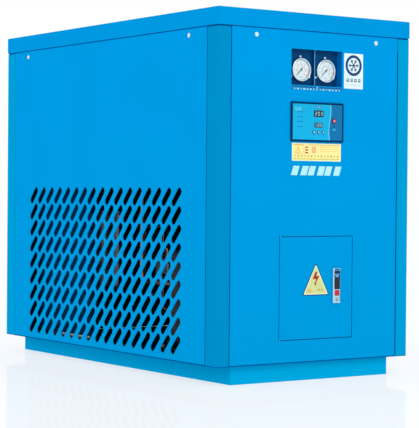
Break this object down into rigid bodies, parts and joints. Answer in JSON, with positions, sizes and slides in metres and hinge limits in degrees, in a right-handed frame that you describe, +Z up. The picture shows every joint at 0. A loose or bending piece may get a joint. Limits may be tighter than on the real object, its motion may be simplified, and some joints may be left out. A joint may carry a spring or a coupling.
{
  "type": "refrigerated air dryer",
  "caption": "Floor-standing refrigerated compressed-air dryer: louvred sheet-metal cabinet with gauges, controller, hinged electrical door, compressor, condenser fan and heat exchanger.",
  "frame": {"origin": "middle of the cabinet's footprint at floor level", "axes": "+X to the right along the front, +Y from the front to the rear along the cabinet's length, +Z up"},
  "size_m": [0.63, 1.1421, 0.95],
  "materials": {
    "blue_paint": "satin",
    "post_paint": "satin",
    "plinth_paint": "satin",
    "dark_blue_paint": "satin",
    "galvanised_steel": "satin",
    "screw_chrome": "polished",
    "gauge_steel": "polished",
    "dial_white": "matte",
    "needle_black": "matte",
    "clear_glass": "gloss",
    "label_film": "gloss",
    "yellow_film": "gloss",
    "controller_plastic": "satin",
    "fascia_film": "satin",
    "display_window": "gloss",
    "button_plastic": "satin",
    "red_plastic": "gloss",
    "black_enamel": "satin",
    "black_plastic": "satin",
    "lock_chrome": "polished",
    "pin_steel": "satin",
    "compressor_black": "satin",
    "grommet_rubber": "matte",
    "fin_aluminium": "satin",
    "motor_paint": "satin",
    "fan_plastic": "satin",
    "foam_insulation": "matte",
    "brass_fitting": "satin",
    "copper_tube": "satin",
    "port_steel": "satin"
  },
  "bodies": {
    "root": {"lid": "blue_paint", "post_front_left": "post_paint", "post_front_right": "post_paint", "post_rear_left": "post_paint", "post_rear_right": "post_paint", "plinth_cross_rails": "plinth_paint", "plinth_side_rails": "plinth_paint", "base_plate": "plinth_paint", "top_cross_rails": "galvanised_steel", "top_side_rails": "galvanised_steel", "front_panel": "blue_paint", "rear_panel": "blue_paint", "left_grille_panel": "blue_paint", "right_grille_panel": "blue_paint", "panel_screws": "screw_chrome", "gauge_pocket": "dark_blue_paint", "gauge_cases": "gauge_steel", "gauge_dials": "dial_white", "gauge_lenses": "clear_glass", "gauge_screws": "screw_chrome", "panel_labels": "label_film", "controller_housing": "controller_plastic", "controller_fascia": "fascia_film", "controller_displays": "display_window", "electrical_box": "galvanised_steel", "door_hinge_pins": "pin_steel", "din_rail": "galvanised_steel", "contactor": "black_plastic", "compressor": "compressor_black", "compressor_grommets": "grommet_rubber", "condenser": "fin_aluminium", "fan_shroud": "galvanised_steel", "fan_motor": "motor_paint", "heat_exchanger": "foam_insulation", "moisture_separator": "galvanised_steel", "auto_drain": "black_plastic", "drain_valve": "brass_fitting", "air_inlet_pipe": "port_steel", "air_outlet_pipe": "port_steel", "discharge_pipe": "copper_tube", "suction_pipe": "copper_tube", "liquid_pipe": "copper_tube", "filter_drier": "copper_tube", "cable_gland": "black_plastic", "partition_plate": "dark_blue_paint"},
    "door": {"electrical_door": "blue_paint", "hazard_triangle": "yellow_film", "lock_frame": "lock_chrome"},
    "lever": {"lock_lever": "black_enamel"},
    "release_button": {"lock_button": "red_plastic"},
    "key": {"key_cylinder": "lock_chrome"},
    "bolt": {"lock_bolt": "pin_steel"},
    "set_key": {"set_button": "button_plastic"},
    "down_key": {"down_button": "button_plastic"},
    "up_key": {"up_button": "button_plastic"},
    "power_key": {"power_button": "red_plastic"},
    "left_needle": {"left_gauge_needle": "needle_black"},
    "right_needle": {"right_gauge_needle": "needle_black"},
    "fan_rotor": {"fan": "fan_plastic"},
    "valve_handle": {"valve_lever": "red_plastic"}
  },
  "joints": [
    {"name": "door_hinge", "type": "hinge", "parent": "root", "child": "door", "pos_m": [-0.113, -0.5615, 0.2405], "axis": [0, 0, -1], "range_deg": [0, 110]},
    {"name": "lever_tilt", "type": "hinge", "parent": "door", "child": "lever", "pos_m": [0.067, -0.565, 0.277], "axis": [-1, 0, 0], "range_deg": [0, 38], "stiffness_Nm_per_rad": 0.02},
    {"name": "bolt_slide", "type": "slide", "parent": "door", "child": "bolt", "axis": [-1, 0, 0], "range_m": [0, 0.008]},
    {"name": "release_push", "type": "slide", "parent": "door", "child": "release_button", "axis": [0, 1, 0], "range_m": [0, 0.0015], "stiffness_N_per_m": 400},
    {"name": "key_turn", "type": "hinge", "parent": "door", "child": "key", "pos_m": [0.067, -0.5655, 0.2075], "axis": [0, 1, 0], "range_deg": [0, 90]},
    {"name": "left_needle_turn", "type": "hinge", "parent": "root", "child": "left_needle", "pos_m": [-0.042, -0.548, 0.805], "axis": [0, 1, 0], "range_deg": [0, 270], "stiffness_Nm_per_rad": 0.0005},
    {"name": "right_needle_turn", "type": "hinge", "parent": "root", "child": "right_needle", "pos_m": [0.039, -0.548, 0.805], "axis": [0, 1, 0], "range_deg": [0, 270], "stiffness_Nm_per_rad": 0.0005},
    {"name": "fan_spin", "type": "hinge", "parent": "root", "child": "fan_rotor", "pos_m": [0.196, 0, 0.3], "axis": [1, 0, 0], "continuous": true},
    {"name": "valve_turn", "type": "hinge", "parent": "root", "child": "valve_handle", "pos_m": [-0.07, 0.465, 0.15], "axis": [0, 0, 1], "range_deg": [0, 90]},
    {"name": "set_push", "type": "slide", "parent": "root", "child": "set_key", "axis": [0, 1, 0], "range_m": [0, 0.0008], "stiffness_N_per_m": 500},
    {"name": "down_push", "type": "slide", "parent": "root", "child": "down_key", "axis": [0, 1, 0], "range_m": [0, 0.0008], "stiffness_N_per_m": 500},
    {"name": "up_push", "type": "slide", "parent": "root", "child": "up_key", "axis": [0, 1, 0], "range_m": [0, 0.0008], "stiffness_N_per_m": 500},
    {"name": "power_push", "type": "slide", "parent": "root", "child": "power_key", "axis": [0, 1, 0], "range_m": [0, 0.0008], "stiffness_N_per_m": 500}
  ],
  "couplings": [
    {"joint": "bolt_slide", "follows": "lever_tilt", "m_per_rad": 0.012}
  ]
}
